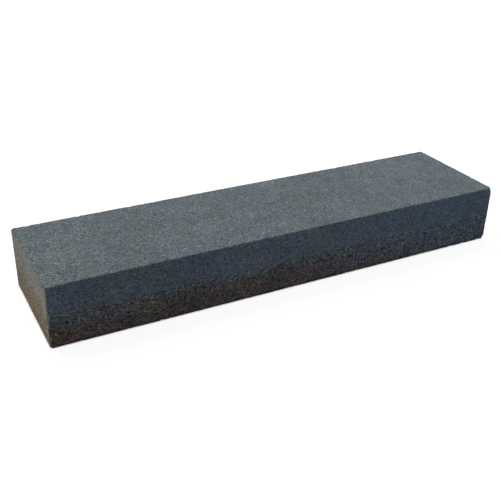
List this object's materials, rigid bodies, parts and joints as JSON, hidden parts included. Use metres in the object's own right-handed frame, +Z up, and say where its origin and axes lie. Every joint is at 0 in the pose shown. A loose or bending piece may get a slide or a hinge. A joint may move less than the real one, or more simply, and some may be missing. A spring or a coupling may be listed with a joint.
{
  "type": "sharpening whetstone",
  "caption": "Free-standing bench whetstone: a fine and a coarse abrasive slab glued face to face, for sharpening edge tools on its broad faces.",
  "frame": {"origin": "middle of the coarse working face, which the stone lies on", "axes": "+X along the stone's length, +Y across its width, +Z up from the coarse face to the fine face"},
  "size_m": [0.2, 0.05, 0.025],
  "materials": {
    "fine_abrasive": "matte, fine open grain, blue-grey",
    "coarse_abrasive": "matte, coarse open grain, dark warm grey",
    "bond_resin": "matte, cured resin loaded with abrasive dust"
  },
  "bodies": {
    "root": {"coarse_grit_stone": "coarse_abrasive", "bond_layer": "bond_resin", "fine_grit_stone": "fine_abrasive"}
  },
  "joints": []
}
